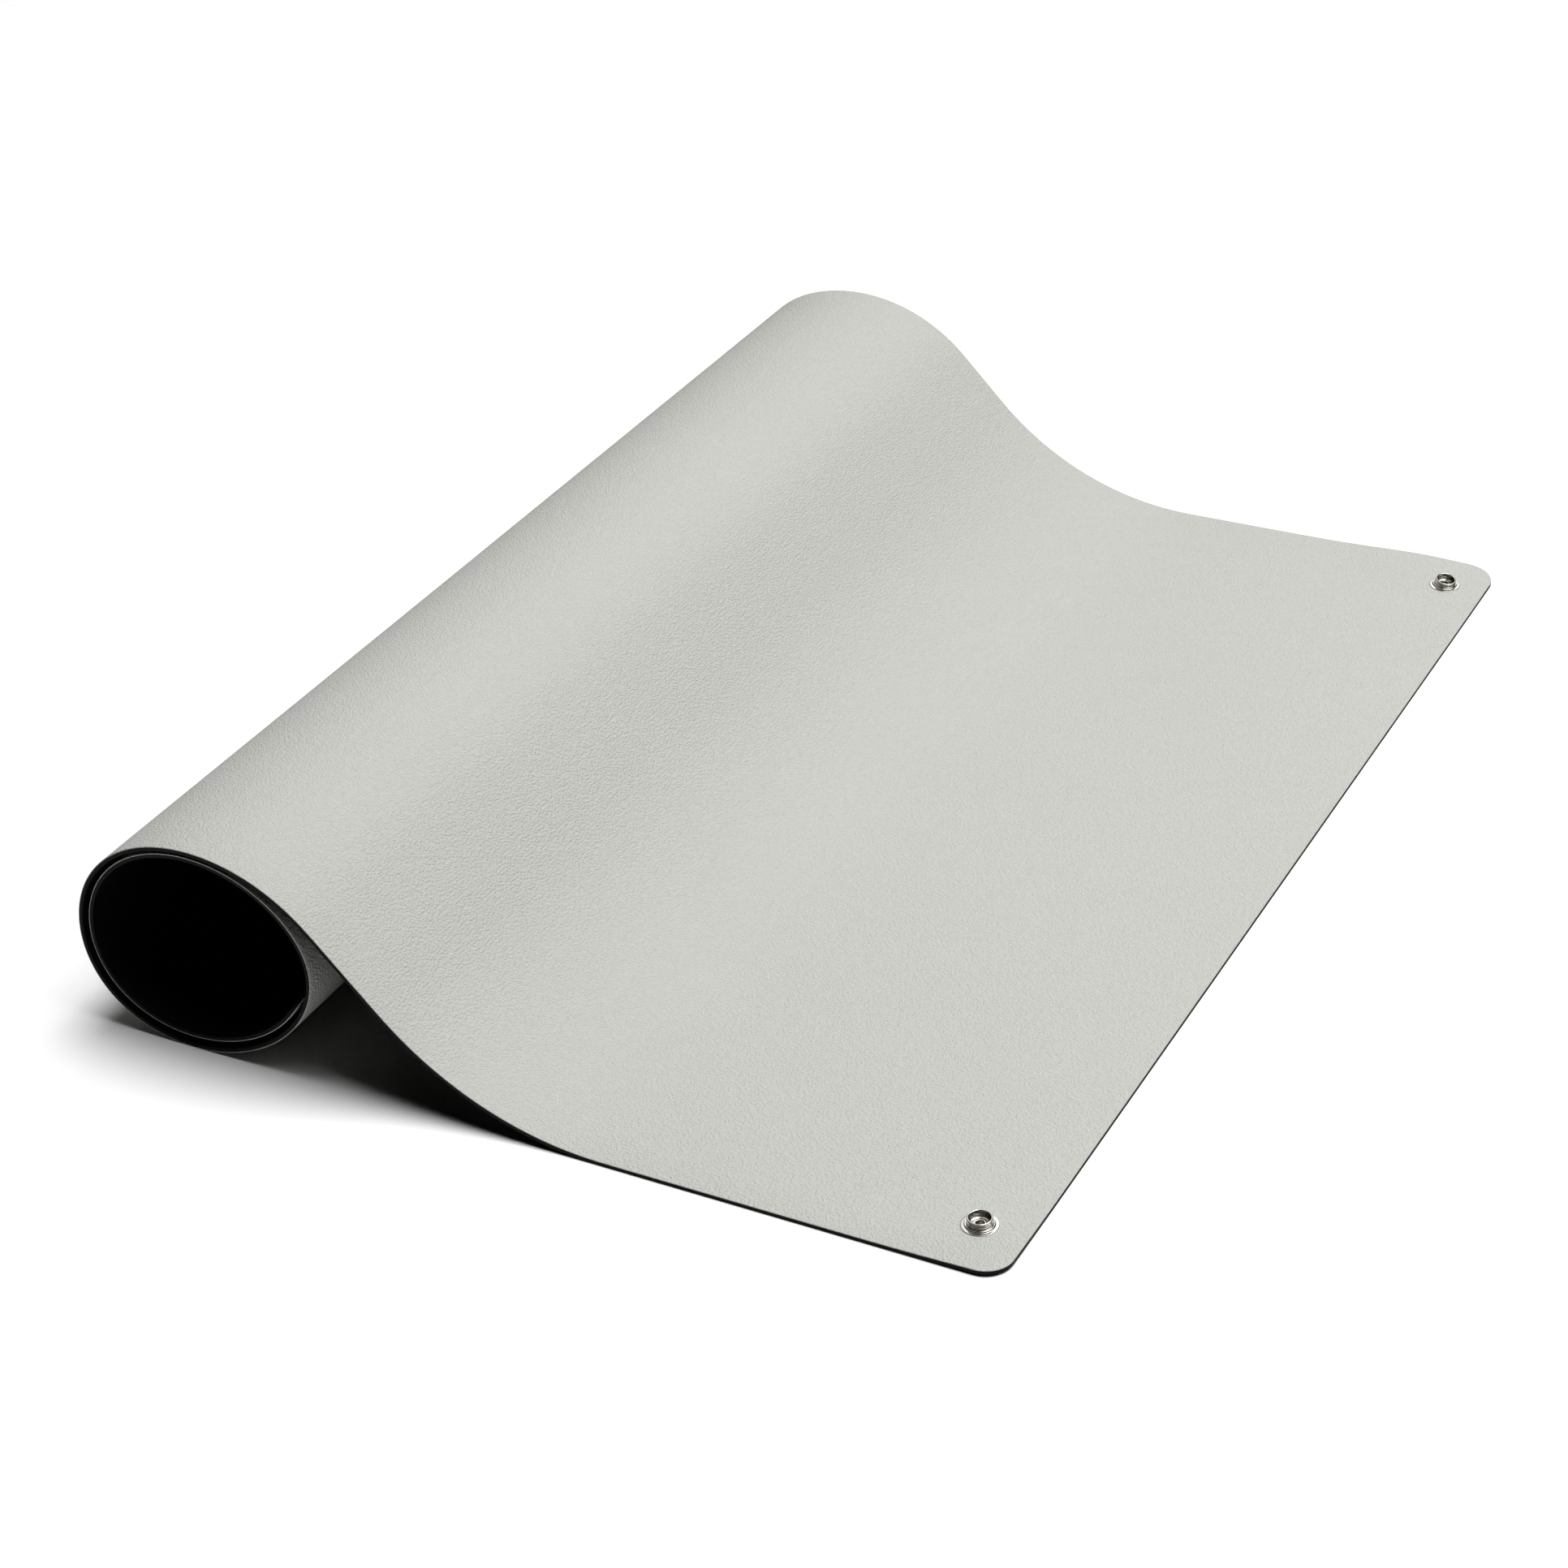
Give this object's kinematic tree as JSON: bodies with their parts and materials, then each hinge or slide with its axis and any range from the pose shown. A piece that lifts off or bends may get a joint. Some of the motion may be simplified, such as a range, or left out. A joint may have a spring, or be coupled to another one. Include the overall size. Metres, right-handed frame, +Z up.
{
  "type": "anti static bench mat",
  "caption": "Two-layer rubber bench mat, grey over black, one end flat with press studs at its corners and the other end rolled up.",
  "frame": {"origin": "on the bench, halfway between the roll's far side and the free edge, and halfway across the width", "axes": "+X towards the free flat edge, +Y along the roll, +Z up from the bench"},
  "size_m": [0.4092, 0.6, 0.0969],
  "materials": {
    "grey_rubber": "fine pebble grain, satin",
    "black_rubber": "smooth matt",
    "nickel_plate": "bright plated"
  },
  "bodies": {
    "root": {"top_layer": "grey_rubber", "base_layer": "black_rubber", "stud_front": "nickel_plate", "stud_back": "nickel_plate", "rivet_front": "nickel_plate", "rivet_back": "nickel_plate"}
  },
  "joints": []
}
